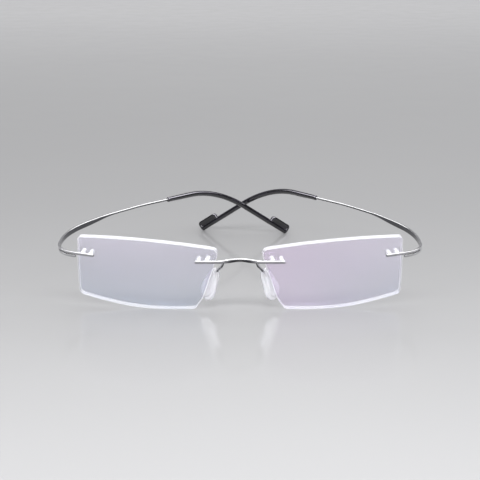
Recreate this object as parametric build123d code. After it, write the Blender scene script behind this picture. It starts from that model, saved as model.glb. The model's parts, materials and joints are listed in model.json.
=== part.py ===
from build123d import *
import math
import os

# Rimless eyeglasses standing on the lower corners of the lenses and on the temple tips.
# X runs across the face (the wearer's left is +X), Y runs from the front to the back and Z is up.
# Each side is built as the wearer's right (-X) and mirrored for the left.
# Until export, Y = 0 is at the front lower edge of the lenses; FOOT_Y then moves the origin
# to the middle of the footprint.

# --- lenses -------------------------------------------------------------------------------
LENS_RADIUS = 120.0            # front surface, spherical
LENS_THICKNESS = 2.2
LENS_VERTEX = (-35.5, -2.62, 14.06)   # centre of the front surface
LENS_TILT = 12.4               # top leans forward
LENS_WRAP = 8.4                # outer end lies further back
# Outline in the lens's own plane: u towards the nose, w up, and the corner radius there.
LENS_OUTLINE = [
    (-26.2, 13.75, 1.8),       # top outer corner
    (1.1, 16.3, 148.0),        # gentle arch of the upper edge
    (27.6, 10.3, 2.4),         # top nasal corner
    (26.8, 7.0, 4.0),          # where the nasal cut starts
    (20.9, -10.2, 8.0),        # where it turns in towards the foot
    (17.8, -14.65, 1.9),       # foot that touches the table
    (-4.0, -14.6, 130.0),      # gentle belly of the lower edge
    (-27.4, -10.75, 2.2),      # lower outer corner
]

# --- pins and bushings --------------------------------------------------------------------
PIN_RADIUS = 0.55
BUSHING_RADIUS = 0.9
BUSHING_PROTRUSION = 0.9       # behind the lens
PIN_SHORTFALL = 0.4            # the pin ends inside the bushing
BRIDGE_PINS_U = {"inner": 23.3, "outer": 19.9}
BRIDGE_PINS_W = 6.2
TEMPLE_PINS_U = {"inner": -21.1, "outer": -24.3}
TEMPLE_PINS_W = 7.2

# --- bridge -------------------------------------------------------------------------------
BAR_GAP = 0.15                 # between a bar and the lens face
BRIDGE_BAR_END_X = 16.9
BRIDGE_BAR_HEIGHT = 1.1
BRIDGE_BAR_THICKNESS = 1.0
BRIDGE_BAR_Y = -5.9
BRIDGE_BAR_Z = 20.5
BRIDGE_ARCH_X = 8.0            # the arch runs between -8 and +8
BRIDGE_ARCH_RISE = 1.2
BRIDGE_ARCH_FORWARD = 1.6
BRIDGE_RIBBON_HEIGHT = 2.0
BRIDGE_RIBBON_THICKNESS = 0.65
BRIDGE_RIBBON_TILT = 50.0      # top edge forward, at the middle
BRIDGE_STATIONS = 9

# --- nose pads ----------------------------------------------------------------------------
PAD_CENTRE = (-11.25, 1.4, 10.0)
PAD_LENGTH = 13.7
PAD_WIDTH = 8.0
PAD_TOP_WIDTH = 5.6
PAD_THICKNESS = 2.5
PAD_EDGE_RADIUS = 1.0
PAD_DOWN = (-0.4, 0.142, -0.905)    # long axis, towards the lower end
PAD_FACE = (0.72, 0.66, -0.135)       # normal of the face that meets the nose
INSERT_LENGTH = 8.0
INSERT_WIDTH = 3.2
INSERT_THICKNESS = 0.7
PAD_ARM_RADIUS = 0.55
PAD_ARM_POINTS = [(-6.2, -6.1, 20.7), (-6.8, -5.4, 18.8), (-8.3, -0.9, 16.1), (-10.0, 0.95, 12.8)]
PAD_ARM_BENDS = [2.2, 2.5]

# --- endpiece and temple ------------------------------------------------------------------
RIBBON_HEIGHT = 2.1
RIBBON_THICKNESS = 0.9
ENDPIECE_BAR_HEIGHT = 1.0      # the upper half of the ribbon runs on over the lens
ENDPIECE_BAR_END_U = -19.7
LENS_EDGE_U = -27.1            # the lower half stops here, just outside the lens
SLIT_HEIGHT = 0.2              # between the two halves of the ribbon
SLIT_LENGTH = 9.5              # from the lens edge into the bend
BEND_X = -69.7                 # outermost line of the U-bend
BEND_RADIUS = 11.3
HINGE_Y = 14.2                 # middle of the flexing length
HINGE_GAP = 0.5                # between the two halves of the bend
RIBBON_RISE = 0.07             # the ribbon climbs towards the ear, per mm of Y
RIBBON_CORNER_Y = 27.25
RIBBON_CORNER_RADIUS = 42.0
TAPER_START_Y = 37.3
TAPER_LENGTH = 22.0            # from the full ribbon to the round wire
TAPER_STATIONS = 7
WIRE_RADIUS = 0.475
WIRE_CORNER = (-55.3, 52.0)
WIRE_CORNER_RADIUS = 100.0
WIRE_MIDDLE = (-43.65, 68.9)
WIRE_MIDDLE_RADIUS = 100.0
EAR_CORNER = (-12.3, 105.5)
EAR_BEND_RADIUS = 44.0
EAR_DROP = 0.5                 # the ear corner is this much lower than the wire
TIP = (19.1, 118.85)
SLEEVE_RADIUS = 1.075
SLEEVE_LEAD = 31.0             # the sleeve starts this far in front of the ear corner
WIRE_END_INSET = 3.0           # the wire stops this far short of the tip
PADDLE_LENGTH = 10.5
PADDLE_HEIGHT = 4.5
PADDLE_THICKNESS = 1.7
PADDLE_TOP_RADIUS = 1.4
# The two temples cross: the left one passes over the right one.
REST_TURN = {"right": -1.4, "left": 1.4}      # about the hinge, positive outwards
REACH = {"right": -1.1, "left": 1.1}          # longer or shorter behind the ear

FOOT_Y = 57.6                  # middle of the footprint, from the front lower edge of the lenses

LENS_FRAME = Pos(*LENS_VERTEX) * Rot(0, 0, -LENS_WRAP) * Rot(LENS_TILT, 0, 0)
LENS_AXIS = (LENS_FRAME * Pos(0, 1, 0)).position - LENS_FRAME.position


def front_sag(u, w):
    """Depth of the front surface behind its vertex."""
    return LENS_RADIUS - math.sqrt(LENS_RADIUS ** 2 - u * u - w * w)


def lens_point(u, w, behind=0.0):
    """A point on the lens's front surface, or behind it along the lens axis."""
    return (LENS_FRAME * Pos(u, front_sag(u, w) + behind, w)).position


def rod(start, end, radius):
    """A round bar between two points."""
    axis = Vector(end) - Vector(start)
    return extrude(Plane(origin=start, z_dir=axis) * Circle(radius), axis.length)


def tube_along(path, radius):
    """A round bar along a path of straight runs and tangent arcs."""
    section = Plane(origin=path @ 0, z_dir=path % 0) * Circle(radius)
    return sweep(section, path=path)


def lens_ball(inset=0.0):
    """The ball whose surface is the lens's front face, or that much smaller."""
    return LENS_FRAME * Pos(0, LENS_RADIUS, 0) * Sphere(LENS_RADIUS - inset)


def make_lens():
    corners = [(u, 0, w) for u, w, _ in LENS_OUTLINE]
    radii = [radius for _, _, radius in LENS_OUTLINE]
    outline = make_face(FilletPolyline(*corners, radius=radii, close=True))
    blank = extrude(outline, LENS_THICKNESS * 5, dir=(0, 1, 0), both=True)
    lens = LENS_FRAME * blank & (lens_ball() - lens_ball(LENS_THICKNESS))
    for u, w in pin_places().values():
        reach = LENS_AXIS * LENS_THICKNESS * 2
        place = lens_point(u, w)
        lens -= rod(place - reach, place + reach, BUSHING_RADIUS)
    return lens


def pin_places():
    places = {"bridge_bushing_" + k: (u, BRIDGE_PINS_W) for k, u in BRIDGE_PINS_U.items()}
    places.update({"temple_bushing_" + k: (u, TEMPLE_PINS_W) for k, u in TEMPLE_PINS_U.items()})
    return places


def make_pin(u, w, front):
    """A pin from inside a bar, which starts in front of the lens, to inside its bushing."""
    length = LENS_THICKNESS + BUSHING_PROTRUSION - PIN_SHORTFALL
    return rod(lens_point(u, w, -front), lens_point(u, w, length), PIN_RADIUS)


def make_bushing(u, w):
    """A clear tube with a closed rear end and a front end that follows the lens face."""
    front = lens_point(u, w, -BUSHING_RADIUS)
    rear = lens_point(u, w, LENS_THICKNESS + BUSHING_PROTRUSION)
    pin_end = lens_point(u, w, LENS_THICKNESS + BUSHING_PROTRUSION - PIN_SHORTFALL)
    tube = rod(front, rear, BUSHING_RADIUS) & lens_ball()
    return tube - rod(front, pin_end, PIN_RADIUS)


def bridge_section(x):
    """The bridge's cross-section at x: a square bar that turns into a tilted ribbon."""
    t = max(0.0, 1 - abs(x) / BRIDGE_ARCH_X)
    s = t * t * (3 - 2 * t)
    y = BRIDGE_BAR_Y - BRIDGE_ARCH_FORWARD * s
    z = BRIDGE_BAR_Z + BRIDGE_ARCH_RISE * s
    height = BRIDGE_BAR_HEIGHT + (BRIDGE_RIBBON_HEIGHT - BRIDGE_BAR_HEIGHT) * s
    thickness = BRIDGE_BAR_THICKNESS + (BRIDGE_RIBBON_THICKNESS - BRIDGE_BAR_THICKNESS) * s
    tilt = math.radians(LENS_TILT + (BRIDGE_RIBBON_TILT - LENS_TILT) * s)
    up = (0, -math.sin(tilt), math.cos(tilt))
    plane = Plane(origin=(x, y, z), x_dir=up, z_dir=(1, 0, 0))
    return plane * RectangleRounded(height, thickness, 0.25)


def make_bridge():
    step = 2 * BRIDGE_ARCH_X / (BRIDGE_STATIONS - 1)
    stations = [bridge_section(-BRIDGE_ARCH_X + step * i) for i in range(BRIDGE_STATIONS)]
    bridge = loft(stations)
    bar = extrude(bridge_section(-BRIDGE_BAR_END_X), BRIDGE_BAR_END_X - BRIDGE_ARCH_X, dir=(1, 0, 0))
    for u in BRIDGE_PINS_U.values():
        bar += make_pin(u, BRIDGE_PINS_W, BAR_GAP + BRIDGE_BAR_THICKNESS / 2)
    return bridge + bar + mirror(bar, about=Plane.YZ)


def pad_plane():
    """The middle plane of the nose pad: x across, y towards its lower end, z to the nose."""
    down = Vector(*PAD_DOWN).normalized()
    face = Vector(*PAD_FACE).normalized()
    return Plane(origin=PAD_CENTRE, x_dir=down.cross(face), z_dir=face)


def make_pad_body():
    low = PAD_WIDTH / 2
    top = PAD_TOP_WIDTH / 2
    circles = Pos(0, PAD_LENGTH / 2 - low) * Circle(low)
    circles += Pos(0, -PAD_LENGTH / 2 + top) * Circle(top)
    outline = make_hull(circles.edges())
    pad = extrude(outline, PAD_THICKNESS / 2, both=True)
    pad = fillet(pad.edges(), PAD_EDGE_RADIUS)
    return pad_plane() * pad


def make_pad_insert():
    plate = extrude(SlotOverall(INSERT_LENGTH, INSERT_WIDTH, rotation=90), INSERT_THICKNESS / 2, both=True)
    return pad_plane() * plate


def make_pad_arm():
    path = FilletPolyline(*PAD_ARM_POINTS, radius=PAD_ARM_BENDS)
    return tube_along(path, PAD_ARM_RADIUS)


def ribbon_point(x, y):
    """A point on the plane in which the ribbon's centre line climbs."""
    edge = lens_point(LENS_EDGE_U, TEMPLE_PINS_W, -BAR_GAP - RIBBON_THICKNESS / 2)
    z = edge.Z - (RIBBON_HEIGHT - ENDPIECE_BAR_HEIGHT) / 2 + RIBBON_RISE * (y - edge.Y)
    return Vector(x, y, z)


def ribbon_plane(path, at=0.0):
    """The plane across a ribbon at a fraction of its path, x along the ribbon's height."""
    normal = Vector(0, -RIBBON_RISE, 1).normalized()
    return Plane(origin=path @ at, x_dir=normal, z_dir=path % at)


def ribbon_section(path, height, thickness, rounding):
    return ribbon_plane(path) * RectangleRounded(height, thickness, rounding)


def make_endpiece():
    front = BAR_GAP + RIBBON_THICKNESS / 2
    inner = lens_point(ENDPIECE_BAR_END_U, TEMPLE_PINS_W, -front)
    edge = lens_point(LENS_EDGE_U, TEMPLE_PINS_W, -front)
    along = (edge - inner).normalized()
    corner_y = edge.Y + (BEND_X - edge.X) * along.Y / along.X
    corner = ribbon_point(BEND_X, corner_y)
    end = ribbon_point(BEND_X, HINGE_Y - HINGE_GAP / 2)
    path = FilletPolyline(ribbon_point(edge.X, edge.Y), corner, end, radius=[BEND_RADIUS])
    ribbon = sweep(ribbon_section(path, RIBBON_HEIGHT, RIBBON_THICKNESS, 0.3), path=path)
    slit_path = path.trim(0, SLIT_LENGTH / path.length)
    slit_face = ribbon_plane(path) * Rectangle(SLIT_HEIGHT, RIBBON_THICKNESS * 2)
    ribbon -= sweep(slit_face, path=slit_path)
    lens_up = (LENS_FRAME * Pos(0, 0, 1)).position - LENS_FRAME.position
    bar_plane = Plane(origin=inner, x_dir=lens_up, z_dir=along)
    overlap = RIBBON_THICKNESS / 2
    bar_face = bar_plane * RectangleRounded(ENDPIECE_BAR_HEIGHT, RIBBON_THICKNESS, 0.25)
    endpiece = ribbon + extrude(bar_face, (edge - inner).length + overlap, dir=along)
    for u in TEMPLE_PINS_U.values():
        endpiece += make_pin(u, TEMPLE_PINS_W, front)
    return endpiece


def temple_points(side):
    """Corners of the temple's centre line behind the taper, and its tip."""
    corner = ribbon_point(*WIRE_CORNER)
    middle = Vector(*WIRE_MIDDLE, corner.Z)
    run = Vector(*EAR_CORNER, 0) - Vector(*WIRE_MIDDLE, 0)
    shift = run.normalized() * REACH[side]
    ear = Vector(*EAR_CORNER, corner.Z - EAR_DROP) + shift
    tip = Vector(*TIP, SLEEVE_RADIUS) + shift
    return corner, middle, ear, tip


def taper_point(y):
    """A point on the straight run between the ribbon's corner and the wire's corner."""
    start = ribbon_point(BEND_X, RIBBON_CORNER_Y)
    end = ribbon_point(*WIRE_CORNER)
    return start + (end - start) * ((y - start.Y) / (end.Y - start.Y))


def make_taper(path):
    """The part of the temple where the ribbon turns into the round wire."""
    sections = []
    for i in range(TAPER_STATIONS):
        at = i / (TAPER_STATIONS - 1)
        flat = (1 - at) ** 2 * (1 + 2 * at)
        height = 2 * WIRE_RADIUS + (RIBBON_HEIGHT - 2 * WIRE_RADIUS) * flat
        thickness = 2 * WIRE_RADIUS + (RIBBON_THICKNESS - 2 * WIRE_RADIUS) * flat
        rounding = WIRE_RADIUS * 0.95 + (0.3 - WIRE_RADIUS * 0.95) * flat
        sections.append(ribbon_plane(path, at) * RectangleRounded(height, thickness, rounding))
    return loft(sections)


def make_temple_wire(side):
    begin = ribbon_point(BEND_X, HINGE_Y + HINGE_GAP / 2)
    corner = ribbon_point(BEND_X, RIBBON_CORNER_Y)
    taper_start = taper_point(TAPER_START_Y)
    path = FilletPolyline(begin, corner, taper_start, radius=[RIBBON_CORNER_RADIUS])
    ribbon = sweep(ribbon_section(path, RIBBON_HEIGHT, RIBBON_THICKNESS, 0.3), path=path)
    wire_corner, middle, ear, tip = temple_points(side)
    run = (wire_corner - taper_start).length
    wire_start = wire_corner + (middle - wire_corner).normalized() * (TAPER_LENGTH - run)
    taper_path = FilletPolyline(taper_start, wire_corner, wire_start, radius=[WIRE_CORNER_RADIUS])
    end = tip + (ear - tip).normalized() * WIRE_END_INSET
    wire_path = FilletPolyline(wire_start, middle, ear, end, radius=[WIRE_MIDDLE_RADIUS, EAR_BEND_RADIUS])
    return ribbon + make_taper(taper_path) + tube_along(wire_path, WIRE_RADIUS)


def make_paddle(side):
    """The flat end of the sleeve: an upright plate whose lower edge is the sleeve's."""
    _, _, ear, tip = temple_points(side)
    back = (ear - tip).normalized()
    up = (Vector(0, 0, 1) - back * back.Z).normalized()
    plane = Plane(origin=tip, x_dir=back, z_dir=back.cross(up))
    low = -SLEEVE_RADIUS
    corners = [
        (low, low),
        (low, low + PADDLE_HEIGHT),
        (low + PADDLE_LENGTH, low + PADDLE_HEIGHT),
        (low + PADDLE_LENGTH, low),
    ]
    radii = [SLEEVE_RADIUS, PADDLE_TOP_RADIUS, PADDLE_TOP_RADIUS, SLEEVE_RADIUS]
    outline = make_face(FilletPolyline(*corners, radius=radii, close=True))
    return plane * extrude(outline, PADDLE_THICKNESS / 2, both=True)


def make_temple_sleeve(side, wire):
    _, middle, ear, tip = temple_points(side)
    start = ear + (middle - ear).normalized() * SLEEVE_LEAD
    path = FilletPolyline(start, ear, tip, radius=[EAR_BEND_RADIUS])
    sleeve = tube_along(path, SLEEVE_RADIUS) + Pos(tip) * Sphere(SLEEVE_RADIUS)
    return sleeve + make_paddle(side) - wire


def turn_temple(shape, side):
    """Turn a temple piece about its hinge to the angle at which it rests."""
    hinge = ribbon_point(BEND_X, HINGE_Y)
    return Pos(hinge) * Rot(0, 0, REST_TURN[side]) * Pos(-hinge) * shape


def on_side(shape, side):
    return mirror(shape, about=Plane.YZ) if side == "left" else shape


def make_parts():
    parts = {"bridge": make_bridge()}
    lens = make_lens()
    arm = make_pad_arm()
    insert = make_pad_insert() - arm
    pad = make_pad_body() - insert - arm
    endpiece = make_endpiece()
    bushings = {name: make_bushing(u, w) for name, (u, w) in pin_places().items()}
    for side in ("right", "left"):
        wire = make_temple_wire(side)
        sleeve = make_temple_sleeve(side, wire)
        pieces = {"lens": lens, "pad_insert": insert, "nose_pad": pad, "endpiece": endpiece}
        pieces["temple_wire"] = turn_temple(wire, side)
        pieces["temple_sleeve"] = turn_temple(sleeve, side)
        pieces.update(bushings)
        for name, shape in pieces.items():
            parts[side + "_" + name] = on_side(shape, side)
        parts[side + "_pad_arm"] = on_side(arm, side) - parts["bridge"]
    return parts


def main():
    os.makedirs("parts", exist_ok=True)
    low = Vector(1e9, 1e9, 1e9)
    high = Vector(-1e9, -1e9, -1e9)
    for name, shape in make_parts().items():
        placed = Pos(0, -FOOT_Y, 0) * shape
        box = placed.bounding_box()
        low = Vector(min(low.X, box.min.X), min(low.Y, box.min.Y), min(low.Z, box.min.Z))
        high = Vector(max(high.X, box.max.X), max(high.Y, box.max.Y), max(high.Z, box.max.Z))
        export_step(placed, "parts/" + name + ".step")
    hinge = ribbon_point(BEND_X, HINGE_Y) - Vector(0, FOOT_Y, 0)
    print("box", low, high)
    print("right hinge", hinge)


main()
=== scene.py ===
import json
import math

import bmesh
import bpy
from mathutils import Matrix, Vector


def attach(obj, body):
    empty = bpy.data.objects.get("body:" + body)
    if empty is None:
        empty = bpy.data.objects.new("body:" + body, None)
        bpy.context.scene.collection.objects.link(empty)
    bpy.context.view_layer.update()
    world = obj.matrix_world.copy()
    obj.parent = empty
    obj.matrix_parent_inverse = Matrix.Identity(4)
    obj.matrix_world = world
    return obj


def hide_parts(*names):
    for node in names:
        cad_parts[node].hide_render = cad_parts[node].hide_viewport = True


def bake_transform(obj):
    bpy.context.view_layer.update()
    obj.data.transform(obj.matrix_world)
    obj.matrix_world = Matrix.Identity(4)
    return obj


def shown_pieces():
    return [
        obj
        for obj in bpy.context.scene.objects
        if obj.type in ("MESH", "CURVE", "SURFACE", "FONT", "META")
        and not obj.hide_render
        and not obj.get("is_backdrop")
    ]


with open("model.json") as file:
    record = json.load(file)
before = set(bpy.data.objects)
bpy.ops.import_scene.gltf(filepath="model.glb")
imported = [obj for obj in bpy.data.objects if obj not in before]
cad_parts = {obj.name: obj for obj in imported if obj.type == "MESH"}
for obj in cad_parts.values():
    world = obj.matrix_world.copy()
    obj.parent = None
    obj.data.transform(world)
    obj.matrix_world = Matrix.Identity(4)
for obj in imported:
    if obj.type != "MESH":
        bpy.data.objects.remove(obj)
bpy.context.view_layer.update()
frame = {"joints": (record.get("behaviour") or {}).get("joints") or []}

# Rimless eyeglasses standing on the lower corners of the lenses and on the temple tips.
# Shapes are worked out in millimetres for the wearer's right side (-X) and mirrored for the left,
# in the frame of the CAD source, whose Y = 0 is the front lower edge of the lenses.
JOINTS = {joint["name"]: joint for joint in frame["joints"]}

MM = 0.001

# --- the CAD source's dimensions, in mm ---------------------------------------------------------
LENS_RADIUS = 120.0
LENS_THICKNESS = 2.2
LENS_VERTEX = Vector((-35.5, -2.62, 14.06))
LENS_TILT = 12.4
LENS_WRAP = 8.4
LENS_OUTLINE = [
    (-26.2, 13.75, 1.8), (1.1, 16.3, 148.0), (27.6, 10.3, 2.4), (26.8, 7.0, 4.0),
    (20.9, -10.2, 8.0), (17.8, -14.65, 1.9), (-4.0, -14.6, 130.0), (-27.4, -10.75, 2.2),
]
PIN_RADIUS = 0.55
BUSHING_RADIUS = 0.9
BUSHING_PROTRUSION = 0.9
PIN_SHORTFALL = 0.4
TEMPLE_PINS_W = 7.2
BRIDGE_PINS = {"bridge_bushing_inner": (23.3, 6.2), "bridge_bushing_outer": (19.9, 6.2)}
TEMPLE_PINS = {
    "temple_bushing_inner": (-21.1, TEMPLE_PINS_W), "temple_bushing_outer": (-24.3, TEMPLE_PINS_W),
}
BAR_GAP = 0.15
BRIDGE_BAR_END_X = 16.9
BRIDGE_BAR = (1.1, 1.0)
BRIDGE_BAR_Y = -5.9
BRIDGE_BAR_Z = 20.5
BRIDGE_ARCH_X = 8.0
BRIDGE_ARCH_RISE = 1.2
BRIDGE_ARCH_FORWARD = 1.6
BRIDGE_RIBBON = (2.0, 0.65)
BRIDGE_RIBBON_TILT = 50.0
PAD_CENTRE = Vector((-11.25, 1.4, 10.0))
PAD_LENGTH = 13.7
PAD_WIDTH = 8.0
PAD_TOP_WIDTH = 5.6
PAD_THICKNESS = 2.5
PAD_DOWN = Vector((-0.4, 0.142, -0.905))
PAD_FACE = Vector((0.72, 0.66, -0.135))
INSERT_LENGTH = 8.0
INSERT_WIDTH = 3.2
INSERT_THICKNESS = 0.7
PAD_ARM_RADIUS = 0.55
PAD_ARM_POINTS = [(-6.2, -6.1, 20.7), (-6.8, -5.4, 18.8), (-8.3, -0.9, 16.1), (-10.0, 0.95, 12.8)]
PAD_ARM_BENDS = [2.2, 2.5]
RIBBON_HEIGHT = 2.1
RIBBON_THICKNESS = 0.9
BAR_HEIGHT = 1.0
BAR_END_U = -19.7
LENS_EDGE_U = -27.1
SLIT_HEIGHT = 0.2
SLIT_LENGTH = 9.5
BEND_X = -69.7
BEND_RADIUS = 11.3
HINGE_Y = 14.2
RIBBON_RISE = 0.07
RIBBON_CORNER_Y = 27.25
RIBBON_CORNER_RADIUS = 42.0
TAPER_START_Y = 37.3
TAPER_LENGTH = 22.0
WIRE_RADIUS = 0.475
WIRE_CORNER = (-55.3, 52.0)
WIRE_CORNER_RADIUS = 100.0
WIRE_MIDDLE = (-43.65, 68.9)
WIRE_MIDDLE_RADIUS = 100.0
EAR_CORNER = (-12.3, 105.5)
EAR_BEND_RADIUS = 44.0
EAR_DROP = 0.5
TIP = (19.1, 118.85)
SLEEVE_RADIUS = 1.075
SLEEVE_LEAD = 31.0
WIRE_END_INSET = 3.0
PADDLE_LENGTH = 10.5
PADDLE_HEIGHT = 4.5
PADDLE_THICKNESS = 1.7
PADDLE_TOP_RADIUS = 1.4
REST_TURN = {"right": -1.4, "left": 1.4}
REACH = {"right": -1.1, "left": 1.1}

# --- what the CAD leaves out, in mm -------------------------------------------------------------
FLEX_START_Y = -4.0            # the strip bends between these two
FLEX_END_Y = 60.0
LENS_CHAMFER = 0.22
LENS_MIDDLE_W = 0.8            # the rings of a lens's faces close in on this height
LENS_RINGS = 14
HOLE_CLEARANCE = 0.02
HOLE_CUTTER_REACH = 4.0        # to either side of the lens
LENS_SHARP_ANGLE = 25.0        # degrees
EDGE_ROUNDING = 0.26           # along a ribbon
END_ROUNDING = 0.25            # of a bar or an arm
PIN_END_ROUNDING = 0.1
PAD_RIM_DROP = 0.62            # the pad's lens side is lower round its raised oval
SLEEVE_FRONT_RADIUS = 1.07
SLEEVE_FULL_RADIUS = 1.17
SLEEVE_GROW_LENGTH = 12.0      # from one sleeve radius to the next

# The hinge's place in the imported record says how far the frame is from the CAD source's own.
HINGE = Vector(JOINTS["right_temple_flex"]["pos_m"])
SHIFT = Vector((0, HINGE.y / MM - HINGE_Y, 0))

LENS_FRAME = (
    Matrix.Translation(LENS_VERTEX)
    @ Matrix.Rotation(math.radians(-LENS_WRAP), 4, "Z")
    @ Matrix.Rotation(math.radians(LENS_TILT), 4, "X")
)
LENS_UP = LENS_FRAME.to_3x3() @ Vector((0, 0, 1))
LENS_BACK = LENS_FRAME.to_3x3() @ Vector((0, 1, 0))
RIBBON_UP = Vector((0, -RIBBON_RISE, 1)).normalized()


# --- paths --------------------------------------------------------------------------------------
def fillet_path(corners, radii, step, closed=False):
    """Points along straight runs joined by tangent arcs, about a step apart."""
    corners = [Vector(c) for c in corners]
    count = len(corners)
    stops = []
    for i, corner in enumerate(corners):
        if not closed and i in (0, count - 1):
            stops.append([corner])
            continue
        radius = radii[i] if closed else radii[i - 1]
        back = (corners[i - 1] - corner).normalized()
        ahead = (corners[(i + 1) % count] - corner).normalized()
        half = back.angle(ahead) / 2
        tangent = radius / math.tan(half)
        centre = corner + (back + ahead).normalized() * (radius / math.sin(half))
        first = corner + back * tangent - centre
        last = corner + ahead * tangent - centre
        turn = math.pi - 2 * half
        pieces = max(2, math.ceil(turn * radius / step), math.ceil(turn / math.radians(12)))
        axis = first.cross(last).normalized()
        turns = [Matrix.Rotation(turn * k / pieces, 3, axis) for k in range(pieces + 1)]
        stops.append([centre + spin @ first for spin in turns])
    points = []
    for i, arc in enumerate(stops):
        points.extend(arc)
        if i == count - 1 and not closed:
            break
        ahead = stops[(i + 1) % count][0]
        pieces = max(1, round((ahead - arc[-1]).length / step))
        points.extend(arc[-1].lerp(ahead, k / pieces) for k in range(1, pieces))
    return points


def lengths_along(points):
    """The length of a path up to each of its points."""
    total = [0.0]
    for a, b in zip(points, points[1:]):
        total.append(total[-1] + (b - a).length)
    return total


def trimmed(points, start, end):
    """The stretch of a path between two lengths along it."""
    total = lengths_along(points)
    kept = [point_at(points, start)]
    kept += [p for p, s in zip(points, total) if start + 0.02 < s < end - 0.02]
    return kept + [point_at(points, end)]


def point_at(points, length):
    """The point at a length along a path."""
    total = lengths_along(points)
    for i in range(1, len(points)):
        if length <= total[i] or i == len(points) - 1:
            part = (length - total[i - 1]) / max(1e-9, total[i] - total[i - 1])
            return points[i - 1].lerp(points[i], part)
    return points[-1]


def smooth_step(t):
    t = max(0.0, min(1.0, t))
    return t * t * (3 - 2 * t)


# --- sections and sweeps ------------------------------------------------------------------------
def rounded_rectangle(height, width, radius, per_corner=6):
    """Points round a rectangle with rounded corners, as (along the height, across)."""
    radius = max(0.01, min(radius, height / 2, width / 2))
    points = []
    for turn in range(4):
        sign_a = 1 if turn in (0, 3) else -1
        sign_b = 1 if turn in (0, 1) else -1
        centre = Vector((sign_a * (height / 2 - radius), sign_b * (width / 2 - radius)))
        for k in range(per_corner):
            angle = math.radians(90 * turn + 90 * k / (per_corner - 1))
            points.append(centre + Vector((math.cos(angle), math.sin(angle))) * radius)
    return points


def add_rings(bm, rings, caps=(True, True)):
    """Skin a row of rings, each a list of points, and close its two ends."""
    made = [[bm.verts.new(p) for p in ring] for ring in rings]
    for a, b in zip(made, made[1:]):
        count = len(a)
        for k in range(count):
            bm.faces.new((a[k], a[(k + 1) % count], b[(k + 1) % count], b[k]))
    if caps[0]:
        bm.faces.new(list(reversed(made[0])))
    if caps[1]:
        bm.faces.new(made[-1])
    return made


def add_sweep(bm, points, size, up, ends=(0.3, 0.3)):
    """Sweep a rounded rectangle along a path, with its ends rounded over by the lengths in ends.

    size(share) and up(share) give the section and its upward direction at a share of the length.
    """
    total = lengths_along(points)
    length = total[-1]
    core = trimmed(points, ends[0], length - ends[1])
    spans = lengths_along(core)
    rings = []
    for i, point in enumerate(core):
        ahead = core[min(i + 1, len(core) - 1)] - core[max(i - 1, 0)]
        share = (ends[0] + spans[i]) / length
        rings.append((point, ahead.normalized(), share, 0.0))
    first, last = rings[0], rings[-1]
    front, back = [], []
    for angle in (22.0, 45.0, 66.0, 90.0):
        out, inset = math.sin(math.radians(angle)), 1 - math.cos(math.radians(angle))
        front.append((first[0] - first[1] * ends[0] * out, first[1], first[2], ends[0] * inset))
        back.append((last[0] + last[1] * ends[1] * out, last[1], last[2], ends[1] * inset))
    rings = list(reversed(front)) + rings + back
    loops = []
    for point, along, share, inset in rings:
        height, width, radius = size(share)
        high = up(share)
        high = (high - along * high.dot(along)).normalized()
        side = along.cross(high)
        outline = rounded_rectangle(height - 2 * inset, width - 2 * inset, radius - inset)
        loops.append([point + high * a + side * b for a, b in outline])
    add_rings(bm, loops)


def constant(value):
    return lambda share: value


def rounded_size(radius):
    """A round bar of one size."""
    return constant((2 * radius, 2 * radius, radius))


# --- pieces -------------------------------------------------------------------------------------
def finish_piece(name, bm, side, sharp=40.0):
    """Turn millimetres in the CAD source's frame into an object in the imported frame."""
    mirror = -1 if side == "left" else 1
    for vert in bm.verts:
        vert.co = (vert.co + SHIFT) * MM
        vert.co.x *= mirror
    bmesh.ops.remove_doubles(bm, verts=bm.verts, dist=0.0005 * MM)
    bmesh.ops.recalc_face_normals(bm, faces=bm.faces)
    mesh = bpy.data.meshes.new(name)
    bm.to_mesh(mesh)
    bm.free()
    mesh.polygons.foreach_set("use_smooth", [True] * len(mesh.polygons))
    mesh.set_sharp_from_angle(angle=math.radians(sharp))
    piece = bpy.data.objects.new(name, mesh)
    bpy.context.scene.collection.objects.link(piece)
    return piece


def front_sag(u, w):
    return LENS_RADIUS - math.sqrt(LENS_RADIUS ** 2 - u * u - w * w)


def back_sag(u, w):
    inner = LENS_RADIUS - LENS_THICKNESS
    return LENS_RADIUS - math.sqrt(inner ** 2 - u * u - w * w)


def lens_point(u, w, behind=0.0):
    return LENS_FRAME @ Vector((u, front_sag(u, w) + behind, w))


def inset_outline(points, distance):
    """Each point of a flat closed outline moved inwards."""
    moved = []
    count = len(points)
    for i, point in enumerate(points):
        along = (points[(i + 1) % count] - points[i - 1]).normalized()
        moved.append(point + Vector((along.z, 0, -along.x)) * distance)
    return moved


def on_sphere(sag, points, behind=0.0):
    """Flat outline points moved back to one of the lens's faces, or behind it."""
    return [LENS_FRAME @ Vector((p.x, sag(p.x, p.z) + behind, p.z)) for p in points]


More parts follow.
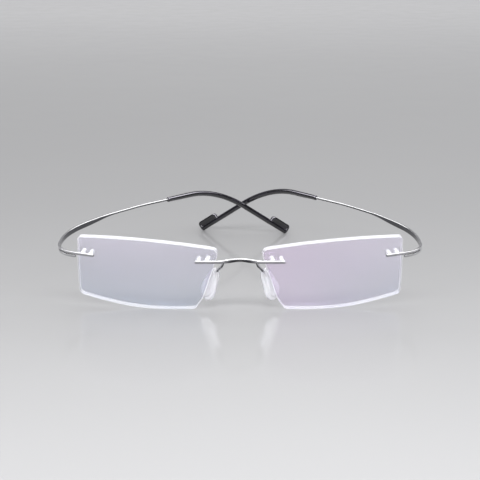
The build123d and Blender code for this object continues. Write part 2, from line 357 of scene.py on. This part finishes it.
def make_lens_blank(side):
    """Two spherical faces, a polished rim and a narrow chamfer at each edge."""
    corners = [(u, 0, w) for u, w, _ in LENS_OUTLINE]
    radii = [radius for _, _, radius in LENS_OUTLINE]
    outline = fillet_path(corners, radii, 1.0, closed=True)
    inner = inset_outline(outline, LENS_CHAMFER)
    centre = Vector((0, 0, LENS_MIDDLE_W))
    flats = [[centre.lerp(p, k / LENS_RINGS) for p in inner] for k in range(1, LENS_RINGS)]
    rings = [on_sphere(front_sag, flat) for flat in flats + [inner]]
    rings.append(on_sphere(front_sag, outline, LENS_CHAMFER))
    rings.append(on_sphere(back_sag, outline, -LENS_CHAMFER))
    rings += [on_sphere(back_sag, flat) for flat in [inner] + flats[::-1]]
    bm = bmesh.new()
    made = add_rings(bm, rings, caps=(False, False))
    for ring, sag in ((made[0], front_sag), (made[-1], back_sag)):
        middle = bm.verts.new(on_sphere(sag, [centre])[0])
        for k in range(len(ring)):
            bm.faces.new((ring[k], ring[(k + 1) % len(ring)], middle))
    count = len(outline)
    for index, face in enumerate(bm.faces):
        band = index // count
        if band == LENS_RINGS:
            face.material_index = 1
        elif abs(band - LENS_RINGS) == 1:
            face.material_index = 2
    return finish_piece(side + "_lens_glass", bm, side, sharp=LENS_SHARP_ANGLE)


def make_hole_cutter(side):
    """Four bars where the bushings go."""
    bm = bmesh.new()
    reach = LENS_BACK * HOLE_CUTTER_REACH
    for u, w in list(BRIDGE_PINS.values()) + list(TEMPLE_PINS.values()):
        middle = lens_point(u, w, LENS_THICKNESS / 2)
        size = rounded_size(BUSHING_RADIUS + HOLE_CLEARANCE)
        add_sweep(bm, [middle - reach, middle + reach], size, constant(LENS_UP), (0.1, 0.1))
    for face in bm.faces:
        face.material_index = 1
    return finish_piece(side + "_lens_cutter", bm, side)


def make_lens(side):
    """The drilled lens, with its face, rim and chamfer materials."""
    lens = make_lens_blank(side)
    cutter = make_hole_cutter(side)
    for material in (MATERIALS["lens"], MATERIALS["lens_rim"], MATERIALS["lens_edge"]):
        lens.data.materials.append(material)
        cutter.data.materials.append(material)
    cut = lens.modifiers.new("holes", "BOOLEAN")
    cut.operation = "DIFFERENCE"
    cut.solver = "EXACT"
    cut.object = cutter
    bpy.context.view_layer.update()
    graph = bpy.context.evaluated_depsgraph_get()
    drilled = bpy.data.meshes.new_from_object(lens.evaluated_get(graph))
    lens.modifiers.clear()
    lens.data = drilled
    bpy.data.objects.remove(cutter)
    drilled.set_sharp_from_angle(angle=math.radians(LENS_SHARP_ANGLE))
    return lens


def make_bushing(name, u, w, side):
    """A clear tube closed at the back, with a softly rounded rear edge."""
    front = lens_point(u, w, 0.02)
    rear = lens_point(u, w, LENS_THICKNESS + BUSHING_PROTRUSION)
    bm = bmesh.new()
    add_sweep(bm, [front, rear], rounded_size(BUSHING_RADIUS), constant(LENS_UP), (0.05, 0.28))
    return finish_piece(side + "_" + name, bm, side)


def add_pins(bm, places, front):
    """Pins from a bar's middle, that far in front of the lens, into their bushings."""
    length = LENS_THICKNESS + BUSHING_PROTRUSION - PIN_SHORTFALL
    for u, w in places.values():
        ends = [lens_point(u, w, -front), lens_point(u, w, length)]
        add_sweep(bm, ends, rounded_size(PIN_RADIUS), constant(LENS_UP), (PIN_END_ROUNDING,) * 2)


def make_bridge():
    """Two short bars over the lenses joined by an arched, tilted ribbon, in one piece."""
    half = BRIDGE_BAR_END_X
    points = []
    steps = 96
    for i in range(steps + 1):
        x = -half + 2 * half * i / steps
        s = smooth_step(1 - abs(x) / BRIDGE_ARCH_X)
        y = BRIDGE_BAR_Y - BRIDGE_ARCH_FORWARD * s
        points.append(Vector((x, y, BRIDGE_BAR_Z + BRIDGE_ARCH_RISE * s)))

    def swell(share):
        return smooth_step(1 - abs(share * 2 - 1) * half / BRIDGE_ARCH_X)

    def size(share):
        s = swell(share)
        height = BRIDGE_BAR[0] + (BRIDGE_RIBBON[0] - BRIDGE_BAR[0]) * s
        thickness = BRIDGE_BAR[1] + (BRIDGE_RIBBON[1] - BRIDGE_BAR[1]) * s
        return height, thickness, 0.28

    def up(share):
        tilt = math.radians(LENS_TILT + (BRIDGE_RIBBON_TILT - LENS_TILT) * swell(share))
        return Vector((0, -math.sin(tilt), math.cos(tilt)))

    bm = bmesh.new()
    add_sweep(bm, points, size, up, (END_ROUNDING, END_ROUNDING))
    left = bmesh.new()
    add_pins(bm, BRIDGE_PINS, BAR_GAP + BRIDGE_BAR[1] / 2)
    add_pins(left, BRIDGE_PINS, BAR_GAP + BRIDGE_BAR[1] / 2)
    for vert in left.verts:
        vert.co.x *= -1
    spare = bpy.data.meshes.new("spare")
    left.to_mesh(spare)
    left.free()
    bm.from_mesh(spare)
    bpy.data.meshes.remove(spare)
    return finish_piece("bridge_metal", bm, "right")


def make_pad_arm(side):
    bm = bmesh.new()
    path = fillet_path(PAD_ARM_POINTS, PAD_ARM_BENDS, 0.25)
    up = constant(Vector((1, 0, 0.2)))
    add_sweep(bm, path, rounded_size(PAD_ARM_RADIUS), up, (END_ROUNDING, END_ROUNDING))
    return finish_piece(side + "_pad_arm_metal", bm, side)


def pad_axes():
    """Across, towards the lower end, and towards the nose."""
    face = PAD_FACE.normalized()
    across = PAD_DOWN.normalized().cross(face).normalized()
    return across, face.cross(across).normalized(), face


def drop_outline(low_centre, low, top_centre, top, inset, per_arc=26):
    """Round two circles on one line, each made smaller by the inset."""
    low, top = max(0.05, low - inset), max(0.05, top - inset)
    lean = math.asin(max(-1.0, min(1.0, (low - top) / (low_centre - top_centre))))
    points = []
    for k in range(per_arc):
        angle = -lean + (math.pi + 2 * lean) * k / (per_arc - 1)
        points.append((math.cos(angle) * low, low_centre + math.sin(angle) * low))
    for k in range(per_arc):
        angle = math.pi + lean + (math.pi - 2 * lean) * k / (per_arc - 1)
        points.append((math.cos(angle) * top, top_centre + math.sin(angle) * top))
    return points


def add_drop(bm, length, low, top, profile):
    """A crowned plate in the pad's plane; profile is a row of (inset, height) pairs."""
    across, down, face = pad_axes()
    rings = []
    for inset, height in profile:
        outline = drop_outline(length / 2 - low, low, -length / 2 + top, top, inset)
        rings.append([PAD_CENTRE + across * a + down * b + face * height for a, b in outline])
    add_rings(bm, rings)


def make_pad(side):
    """A soft drop-shaped pad: a crowned face for the nose and a raised oval on the lens side."""
    half = PAD_THICKNESS / 2
    edge = 1.0                 # radius of the rounded edge
    profile = [(PAD_TOP_WIDTH / 2 - 0.25, half), (2.0, half - 0.02), (1.5, half - 0.06)]
    rim = half - PAD_RIM_DROP
    for k in range(9):
        angle = math.radians(90 - 22.5 * k)
        rise = math.sin(angle) * ((half - 0.12) if k < 4 else rim)
        profile.append((edge * (1 - math.cos(angle)), rise))
    profile += [(1.25, -rim + 0.02), (1.4, -rim - 0.05), (1.55, -half + 0.2), (1.7, -half + 0.06)]
    profile += [(1.9, -half + 0.01), (2.15, -half), (PAD_TOP_WIDTH / 2 - 0.25, -half + 0.05)]
    bm = bmesh.new()
    add_drop(bm, PAD_LENGTH, PAD_WIDTH / 2, PAD_TOP_WIDTH / 2, profile)
    return finish_piece(side + "_pad_silicone", bm, side, sharp=60.0)


def make_insert(side):
    """The stiff plate moulded into the pad."""
    half = INSERT_THICKNESS / 2
    profile = [(0.9, half - 0.14), (0.62, half - 0.14), (0.5, half), (0.12, half), (0.0, half - 0.12)]
    profile += [(inset, -height) for inset, height in reversed(profile)]
    bm = bmesh.new()
    add_drop(bm, INSERT_LENGTH, INSERT_WIDTH / 2, INSERT_WIDTH / 2, profile)
    return finish_piece(side + "_pad_plate", bm, side)


def ribbon_point(x, y):
    """A point on the plane in which the ribbon's centre line climbs."""
    edge = lens_point(LENS_EDGE_U, TEMPLE_PINS_W, -BAR_GAP - RIBBON_THICKNESS / 2)
    z = edge.z - (RIBBON_HEIGHT - BAR_HEIGHT) / 2 + RIBBON_RISE * (y - edge.y)
    return Vector((x, y, z))


def temple_points(side):
    """Corners of the temple's centre line behind the taper, and its tip."""
    corner = ribbon_point(*WIRE_CORNER)
    middle = Vector((*WIRE_MIDDLE, corner.z))
    run = Vector((*EAR_CORNER, 0)) - Vector((*WIRE_MIDDLE, 0))
    shift = run.normalized() * REACH[side]
    ear = Vector((*EAR_CORNER, corner.z - EAR_DROP)) + shift
    tip = Vector((*TIP, SLEEVE_RADIUS)) + shift
    return corner, middle, ear, tip


def rigid_share(point):
    return 1.0


def flexing_share(point):
    """How much of the temple's turn the strip takes at a point."""
    return smooth_step((point.y - FLEX_START_Y) / (FLEX_END_Y - FLEX_START_Y))


def turn_with_temple(bm, side, share):
    """Turn a mesh about the hinge to the angle at which the temple rests."""
    hinge = ribbon_point(BEND_X, HINGE_Y)
    for vert in bm.verts:
        turn = Matrix.Rotation(math.radians(REST_TURN[side]) * share(vert.co), 3, "Z")
        vert.co = hinge + turn @ (vert.co - hinge)


def make_temple_metal(side):
    """From the bar over the lens, through the split spring and the ribbon, to the round wire."""
    front = BAR_GAP + RIBBON_THICKNESS / 2
    inner = lens_point(BAR_END_U, TEMPLE_PINS_W, -front)
    edge = lens_point(LENS_EDGE_U, TEMPLE_PINS_W, -front)
    along = (edge - inner).normalized()
    corner_y = edge.y + (BEND_X - edge.x) * along.y / along.x
    wire_corner, middle, ear, tip = temple_points(side)
    end = tip + (ear - tip).normalized() * WIRE_END_INSET
    corners = [
        ribbon_point(edge.x, edge.y), ribbon_point(BEND_X, corner_y),
        ribbon_point(BEND_X, RIBBON_CORNER_Y), wire_corner, middle, ear, end,
    ]
    radii = [
        BEND_RADIUS, RIBBON_CORNER_RADIUS, WIRE_CORNER_RADIUS, WIRE_MIDDLE_RADIUS, EAR_BEND_RADIUS,
    ]
    line = fillet_path(corners, radii, 0.6)
    total = lengths_along(line)
    taper_start = next(s for p, s in zip(line, total) if p.y > TAPER_START_Y)
    length = total[-1]
    rail_height = (RIBBON_HEIGHT - SLIT_HEIGHT) / 2
    offset = RIBBON_UP * (rail_height + SLIT_HEIGHT) / 2
    split = [p for p, s in zip(line, total) if s <= SLIT_LENGTH + 0.5]
    bm = bmesh.new()

    bar_steps = 12
    over_lens = [inner.lerp(edge, k / bar_steps) for k in range(bar_steps)]
    upper = over_lens + [p + offset for p in split]
    bar_share = (edge - inner).length / lengths_along(upper)[-1]

    def past_lens(share):
        """0 over the lens and 1 in the spring."""
        return smooth_step((share - bar_share * 0.8) / (bar_share * 0.4))

    def upper_size(share):
        height = BAR_HEIGHT + (rail_height - BAR_HEIGHT) * past_lens(share)
        return height, RIBBON_THICKNESS, EDGE_ROUNDING

    def upper_up(share):
        return LENS_UP.lerp(RIBBON_UP, past_lens(share))

    rail_ends = (END_ROUNDING, 0.15)
    add_sweep(bm, upper, upper_size, upper_up, rail_ends)
    lower = [p - offset for p in split]
    lower_size = constant((rail_height, RIBBON_THICKNESS, EDGE_ROUNDING))
    add_sweep(bm, lower, lower_size, constant(RIBBON_UP), rail_ends)

    def body_size(share):
        t = ((share * (length - SLIT_LENGTH) + SLIT_LENGTH) - taper_start) / TAPER_LENGTH
        t = max(0.0, min(1.0, t))
        flat = (1 - t) ** 2 * (1 + 2 * t)
        height = 2 * WIRE_RADIUS + (RIBBON_HEIGHT - 2 * WIRE_RADIUS) * flat
        thickness = 2 * WIRE_RADIUS + (RIBBON_THICKNESS - 2 * WIRE_RADIUS) * flat
        return height, thickness, WIRE_RADIUS + (0.3 - WIRE_RADIUS) * flat

    body = trimmed(line, SLIT_LENGTH, length)
    add_sweep(bm, body, body_size, constant(RIBBON_UP), (0.12, 0.2))
    add_pins(bm, TEMPLE_PINS, front)
    turn_with_temple(bm, side, flexing_share)
    return finish_piece(side + "_temple_metal", bm, side)


def add_paddle(bm, tip, back):
    """A flat plate with a raised rim on each face, from the tip towards the ear."""
    up = (Vector((0, 0, 1)) - back * back.z).normalized()
    across = back.cross(up)
    along_middle = PADDLE_LENGTH / 2 - SLEEVE_RADIUS
    up_middle = PADDLE_HEIGHT / 2 - SLEEVE_RADIUS
    half = PADDLE_THICKNESS / 2
    profile = [
        (1.28, half - 0.22), (1.12, half - 0.20), (0.98, half - 0.05), (0.84, half), (0.42, half),
        (0.22, half - 0.05), (0.08, half - 0.2), (0.0, half - 0.42),
    ]
    profile += [(inset, -height) for inset, height in reversed(profile)]
    rings = []
    for inset, height in profile:
        radius = max(0.2, PADDLE_TOP_RADIUS - 0.6 * inset)
        length, width = PADDLE_LENGTH - 2 * inset, PADDLE_HEIGHT - 2 * inset
        centre = tip + across * height
        outline = rounded_rectangle(length, width, radius, per_corner=8)
        rings.append([centre + back * (along_middle + a) + up * (up_middle + b) for a, b in outline])
    add_rings(bm, rings)


def make_sleeve(side):
    """The black end sleeve: slimmer at both ends, with a flat paddle at the tip."""
    _, middle, ear, tip = temple_points(side)
    start = ear + (middle - ear).normalized() * SLEEVE_LEAD
    path = fillet_path([start, ear, tip], [EAR_BEND_RADIUS], 0.7)
    length = lengths_along(path)[-1]

    def size(share):
        grown = smooth_step(share * length / SLEEVE_GROW_LENGTH)
        ending = smooth_step((share * length - length) / SLEEVE_GROW_LENGTH + 1)
        radius = SLEEVE_FRONT_RADIUS + (SLEEVE_FULL_RADIUS - SLEEVE_FRONT_RADIUS) * grown
        radius += (SLEEVE_RADIUS - SLEEVE_FULL_RADIUS) * ending
        return 2 * radius, 2 * radius, radius

    bm = bmesh.new()
    back = (ear - tip).normalized()
    path.append(tip - back * SLEEVE_RADIUS)
    add_sweep(bm, path, size, constant(Vector((0, 0, 1))), (0.3, 1.0))
    add_paddle(bm, tip, back)
    turn_with_temple(bm, side, rigid_share)
    return finish_piece(side + "_sleeve_black", bm, side)


# --- materials ----------------------------------------------------------------------------------
class Nodes:
    """A material's node tree, with short ways to add and link nodes."""

    def __init__(self, name):
        self.material = bpy.data.materials.new(name)
        self.material.use_nodes = True
        self.tree = self.material.node_tree
        self.shader = self.tree.nodes["Principled BSDF"]

    def add(self, kind, **values):
        node = self.tree.nodes.new("ShaderNode" + kind)
        for key, value in values.items():
            setattr(node, key, value)
        return node

    def link(self, out, into):
        self.tree.links.new(out, into)

    def coordinates(self, scale=(1, 1, 1)):
        """Object coordinates, scaled."""
        place = self.add("TexCoord")
        mapping = self.add("Mapping")
        mapping.inputs["Scale"].default_value = scale
        self.link(place.outputs["Object"], mapping.inputs["Vector"])
        return mapping.outputs["Vector"]

    def noise(self, scale, detail=4.0, stretch=(1, 1, 1)):
        node = self.add("TexNoise")
        node.inputs["Scale"].default_value = scale
        node.inputs["Detail"].default_value = detail
        self.link(self.coordinates(stretch), node.inputs["Vector"])
        return node.outputs["Fac"]

    def ramp(self, source, stops):
        node = self.add("ValToRGB")
        elements = node.color_ramp.elements
        while len(elements) < len(stops):
            elements.new(0.5)
        for element, (position, colour) in zip(elements, stops):
            element.position = position
            element.color = (*colour, 1)
        self.link(source, node.inputs["Fac"])
        return node.outputs["Color"]

    def span(self, source, low, high, from_low=0.3, from_high=0.7):
        """The source's range, by default a noise's usual one, mapped to low..high."""
        node = self.add("MapRange")
        for key, value in zip(
            ("From Min", "From Max", "To Min", "To Max"), (from_low, from_high, low, high)
        ):
            node.inputs[key].default_value = value
        self.link(source, node.inputs["Value"])
        return node.outputs["Result"]

    def bump(self, source, strength, distance):
        node = self.add("Bump")
        node.inputs["Strength"].default_value = strength
        node.inputs["Distance"].default_value = distance
        self.link(source, node.inputs["Height"])
        self.link(node.outputs["Normal"], self.shader.inputs["Normal"])

    def set(self, **values):
        """Uniform values on the shader's own sockets."""
        for key, value in values.items():
            self.shader.inputs[key.replace("_", " ")].default_value = value

    def colour(self, out):
        self.link(out, self.shader.inputs["Base Color"])

    def roughness(self, source, low, high):
        self.link(self.span(source, low, high), self.shader.inputs["Roughness"])

    def separate(self, out):
        """The X, Y and Z of a vector."""
        node = self.add("SeparateXYZ")
        self.link(out, node.inputs["Vector"])
        return node.outputs

    def object_place(self):
        return self.separate(self.add("TexCoord").outputs["Object"])

    def world_normal(self):
        return self.separate(self.add("NewGeometry").outputs["Normal"])

    def math(self, operation, *values):
        """A sum of sockets and numbers."""
        node = self.add("Math", operation=operation)
        for socket, value in zip(node.inputs, values):
            if isinstance(value, float):
                socket.default_value = value
            else:
                self.link(value, socket)
        return node.outputs[0]

    def mix(self, a, b, share=None, blend="MIX"):
        """Two colours mixed by a socket, or blended in full."""
        node = self.add("Mix", data_type="RGBA", blend_type=blend)
        if share is None:
            node.inputs["Factor"].default_value = 1.0
        else:
            self.link(share, node.inputs["Factor"])
        self.link(a, node.inputs["A"])
        if isinstance(b, tuple):
            node.inputs["B"].default_value = b
        else:
            self.link(b, node.inputs["B"])
        return node.outputs["Result"]


def titanium():
    """Polished metal with painted shade: its colour is darker where it faces down and where it faces
    towards the other temple.
    """
    m = Nodes("polished_titanium")
    m.set(Metallic=1.0)
    polish = m.ramp(m.noise(260), [(0.35, (0.80, 0.80, 0.82)), (0.65, (0.92, 0.92, 0.94))])
    # painted shade: the colour is darkened on faces that point down
    normal = m.world_normal()
    upward = m.span(normal["Z"], 0.0, 1.0, -0.55, 0.1)
    shade = m.ramp(upward, [(0.0, (0.10, 0.10, 0.11)), (1.0, (1, 1, 1))])
    # painted shade: the colour is darkened on faces that point towards the other temple, but not on
    # faces that point up
    side = m.span(m.object_place()["X"], -1.0, 1.0, -0.001, 0.001)
    outward = m.math("MULTIPLY", normal["X"], side)
    outward_or_up = m.math("MULTIPLY_ADD", normal["Z"], 0.9, outward)
    lit = m.span(outward_or_up, 0.0, 1.0, -0.68, -0.3)
    inner = m.ramp(lit, [(0.0, (0.2, 0.2, 0.21)), (1.0, (1, 1, 1))])
    m.colour(m.mix(m.mix(polish, shade, blend="MULTIPLY"), inner, blend="MULTIPLY"))
    m.roughness(m.noise(900, 6), 0.08, 0.17)
    m.bump(m.noise(2600, 3, (0.15, 0.15, 1.0)), 0.12, 0.00003)
    return m.material


def lens_face():
    """Clear plastic with a lavender coating tint. Its colour also holds painted reflection: lighter
    and more lavender towards the top, bluer towards the bottom, and pinker towards the nose on one
    lens.
    """
    m = Nodes("coated_lens")
    m.set(IOR=1.5, Metallic=0.75)
    place = m.object_place()
    # painted reflection: the colour grows lighter and more lavender with height, and bluer towards
    # the bottom
    height = m.math("MULTIPLY_ADD", place["Z"], 30.0, m.span(m.noise(22, 2), 0.05, 0.25))
    coating_tint_and_painted_reflection = m.ramp(height, [
        (0.15, (0.30, 0.40, 0.58)), (0.6, (0.55, 0.56, 0.76)), (1.0, (0.84, 0.78, 1.0)),
    ])
    # painted reflection: a pink tint towards the nose on one lens
    towards_nose = m.span(place["X"], 0.0, 1.0, 0.062, 0.006)
    left_only = m.span(place["X"], 0.0, 0.8, -0.003, 0.003)
    painted_pink_reflection_share = m.math("MULTIPLY", towards_nose, left_only)
    m.colour(m.mix(coating_tint_and_painted_reflection, (0.84, 0.56, 0.92, 1), painted_pink_reflection_share))
    m.roughness(m.noise(60, 3), 0.02, 0.05)
    m.link(m.span(m.noise(35, 2), 0.15, 0.18), m.shader.inputs["Alpha"])
    return m.material


def lens_rim(name, least, most, painted_glow):
    """The polished edge, with a faint painted glow from emission. Alpha grows from least to most
    where it faces up, so the upper edge shows whiter: in part a painted highlight.
    """
    m = Nodes(name)
    m.set(IOR=1.5, Specular_IOR_Level=0.6)
    # painted glow: the edge gives out a little light of its own
    m.set(Emission_Color=(0.93, 0.91, 1.0, 1), Emission_Strength=painted_glow)
    m.colour(m.ramp(m.noise(120, 3), [(0.3, (0.90, 0.91, 0.97)), (0.7, (0.98, 0.98, 1.0))]))
    m.roughness(m.noise(1500, 4), 0.12, 0.25)
    # painted highlight: the white edge is more opaque where it faces up
    m.link(m.span(m.world_normal()["Z"], least, most, 0.2, 0.8), m.shader.inputs["Alpha"])
    m.bump(m.noise(5000, 2), 0.1, 0.00002)
    return m.material


def silicone():
    m = Nodes("clear_silicone")
    m.set(IOR=1.41, Transmission_Weight=0.6)
    m.colour(m.ramp(m.noise(180, 3), [(0.3, (0.88, 0.88, 0.93)), (0.7, (0.97, 0.97, 1.0))]))
    m.roughness(m.noise(700, 5), 0.04, 0.1)
    m.bump(m.noise(1400, 3), 0.1, 0.00003)
    return m.material


def clear_plastic():
    m = Nodes("clear_plastic")
    m.set(IOR=1.49, Transmission_Weight=0.2, Specular_IOR_Level=0.6)
    m.colour(m.ramp(m.noise(400, 3), [(0.3, (0.86, 0.87, 0.90)), (0.7, (0.97, 0.97, 0.99))]))
    m.roughness(m.noise(1200, 4), 0.06, 0.16)
    m.bump(m.noise(3000, 2), 0.08, 0.00003)
    return m.material


def black_plastic():
    """Glossy black sleeve with the faint cloudiness of handled plastic."""
    m = Nodes("black_plastic")
    m.set(IOR=1.55, Coat_Weight=1.0, Coat_Roughness=0.04)
    cloudy = [(0.35, (0.0025, 0.0025, 0.003)), (0.7, (0.006, 0.0055, 0.008))]
    m.colour(m.ramp(m.noise(140, 5), cloudy))
    m.roughness(m.noise(800, 6), 0.05, 0.12)
    m.bump(m.noise(1800, 4), 0.06, 0.00002)
    return m.material


def floor_material():
    m = Nodes("pale_floor")
    m.set(IOR=1.7)
    m.colour(m.ramp(m.noise(3, 3), [(0.3, (0.66, 0.66, 0.67)), (0.7, (0.68, 0.68, 0.69))]))
    m.roughness(m.noise(40, 3), 0.10, 0.13)
    return m.material


MATERIALS = {
    "titanium": titanium(),
    "lens": lens_face(),
    # the last number given to lens_rim is the strength of its painted glow
    "lens_rim": lens_rim("lens_rim", 0.16, 0.8, 0.12),
    "lens_edge": lens_rim("lens_edge", 0.65, 0.9, 0.2),
    "silicone": silicone(),
    "clear_plastic": clear_plastic(),
    "black_plastic": black_plastic(),
}


# --- the object ---------------------------------------------------------------------------------
def place(piece, slot, nodes, body="front"):
    """Give a new piece its material and its body, and hide the CAD nodes that it stands for."""
    if not piece.data.materials:
        piece.data.materials.append(MATERIALS[slot])
    if body:
        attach(piece, body)
    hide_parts(*nodes)


place(make_bridge(), "titanium", ["bridge"])
for side in ("right", "left"):
    place(make_lens(side), "lens", [side + "_lens"])
    place(make_pad_arm(side), "titanium", [side + "_pad_arm"])
    place(make_insert(side), "clear_plastic", [side + "_pad_insert"])
    place(make_pad(side), "silicone", [side + "_nose_pad"])
    for name, (u, w) in {**BRIDGE_PINS, **TEMPLE_PINS}.items():
        place(make_bushing(name + "_tube", u, w, side), "clear_plastic", [side + "_" + name])
    temple = side + "_temple"
    place(make_sleeve(side), "black_plastic", [temple + "_sleeve"], temple)
    metal = make_temple_metal(side)
    place(metal, "titanium", [side + "_endpiece", temple + "_wire"], None)
    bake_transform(metal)


# --- floor, lights and camera ------------------------------------------------------------------
FLOOR_HALF_SIZE = 6.0          # metres
FLOOR_Z = -0.00002             # just below the points that touch it


def make_floor():
    size = FLOOR_HALF_SIZE
    bm = bmesh.new()
    corners = [(-size, -size), (size, -size), (size, size), (-size, size)]
    bm.faces.new([bm.verts.new((x, y, FLOOR_Z)) for x, y in corners])
    mesh = bpy.data.meshes.new("floor")
    bm.to_mesh(mesh)
    bm.free()
    floor = bpy.data.objects.new("floor", mesh)
    bpy.context.scene.collection.objects.link(floor)
    mesh.materials.append(floor_material())
    floor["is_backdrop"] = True


def add_light(name, location, target, size, power, lit=None, colour=(1, 1, 1)):
    """A soft panel. lit lists the pieces that it reaches, or is None for all."""
    data = bpy.data.lights.new(name, "AREA")
    data.shape = "RECTANGLE"
    data.size, data.size_y = size
    data.energy = power
    data.color = colour
    light = bpy.data.objects.new(name, data)
    light.location = location
    light.rotation_euler = (Vector(target) - Vector(location)).to_track_quat("-Z", "Y").to_euler()
    bpy.context.scene.collection.objects.link(light)
    light.visible_camera = False
    light.visible_glossy = lit is not None
    if lit:
        receivers = bpy.data.collections.new(name + "_receivers")
        for piece in lit:
            receivers.objects.link(piece)
        light.light_linking.receiver_collection = receivers


def make_world():
    """A soft dome, brightest low at the back and dim in front."""
    world = bpy.data.worlds.new("studio")
    bpy.context.scene.world = world
    world.use_nodes = True
    tree = world.node_tree
    background = tree.nodes["Background"]
    coord = tree.nodes.new("ShaderNodeTexCoord")
    split = tree.nodes.new("ShaderNodeSeparateXYZ")
    tree.links.new(coord.outputs["Generated"], split.inputs["Vector"])
    height = tree.nodes.new("ShaderNodeValToRGB")
    height.color_ramp.elements[0].position = 0.0
    height.color_ramp.elements[0].color = (0.42, 0.42, 0.43, 1)
    height.color_ramp.elements[1].position = 0.75
    height.color_ramp.elements[1].color = (0.20, 0.20, 0.205, 1)
    tree.links.new(split.outputs["Z"], height.inputs["Fac"])
    depth = tree.nodes.new("ShaderNodeMapRange")
    depth.interpolation_type = "SMOOTHSTEP"
    for key, value in (("From Min", -0.3), ("From Max", 0.8), ("To Min", 0.08), ("To Max", 1.0)):
        depth.inputs[key].default_value = value
    tree.links.new(split.outputs["Y"], depth.inputs["Value"])
    tree.links.new(height.outputs["Color"], background.inputs["Color"])
    tree.links.new(depth.outputs["Result"], background.inputs["Strength"])


make_floor()
make_world()
metal = [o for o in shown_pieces() if o.name.endswith("_metal")]
sleeves = [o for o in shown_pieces() if o.name.endswith("_black")]
clear = [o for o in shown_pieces() if o not in metal + sleeves]
lenses = [o for o in clear if o.name.endswith("_glass")]
pads_and_bushings = [o for o in clear if o not in lenses]
VIOLET = (0.93, 0.9, 1.0)

# Panels that light everything: name, place, target, size in metres, power in watts.
add_light("overhead", (0.0, 0.12, 0.8), (0, 0.02, 0), (1.0, 0.6), 1.55)
add_light("front_floor", (0.0, -0.3, 0.32), (0, -0.26, 0), (0.7, 0.12), 1.4)
add_light("right_side", (0.8, 0.1, 0.5), (0, 0, 0.01), (0.3, 0.5), 0.8)

# Panels for one kind of piece each.
add_light("gloss_key", (0.0, 0.1, 0.6), (0, 0.1, 0), (1.2, 1.2), 10.5, metal)
add_light("gloss_front", (0.0, -0.7, 0.2), (0, 0, 0.02), (0.9, 0.16), 1.0, metal)
for side in (-1, 1):
    add_light("gloss_side", (side * 0.9, -0.1, 0.16), (0, -0.05, 0.02), (0.8, 0.14), 0.9, metal)
    add_light("side_floor", (side * 2.0, 0.0, 0.9), (side * 2.0, 0, 0), (1.4, 2.2), 9.0)
add_light("sleeve_key", (0.0, -0.05, 0.42), (0, 0.05, 0), (1.3, 0.9), 22.0, sleeves, VIOLET)
add_light(
    "sleeve_front", (0.2, -0.6, 0.3), (0, 0.03, 0.02), (1.2, 0.4), 5.0, sleeves, (0.95, 0.92, 1.0)
)
add_light("soft_key", (0.0, 0.0, 0.6), (0, 0, 0), (0.8, 0.6), 1.7, clear)
add_light(
    "table_glow", (0.0, -0.0875, 0.0004), (0, -0.0875, 1), (0.32, 0.075), 0.029, lenses,
    (0.9, 0.87, 1.0),
)
add_light("front_fill", (0.0, -0.42, 0.3), (0, -0.05, 0.01), (1.1, 0.25), 5.5, pads_and_bushings)

# Panels over the far parts of the floor.
add_light("near_floor", (0.0, -2.0, 0.9), (0, -2.0, 0), (4.0, 1.6), 11.0)
add_light("far_floor", (0.0, 1.6, 1.0), (0, 1.6, 0), (3.0, 1.2), 27.0)

camera_data = bpy.data.cameras.new("camera")
camera_data.lens = 94.54
camera_data.sensor_width = 36.0
camera_data.clip_start = 0.01
camera = bpy.data.objects.new("camera", camera_data)
camera.location = (0, -0.5141, 0.1483)
camera.rotation_euler = (math.radians(75.17), 0, 0)
bpy.context.scene.collection.objects.link(camera)
bpy.context.scene.camera = camera
bpy.context.scene.view_settings.view_transform = "Standard"
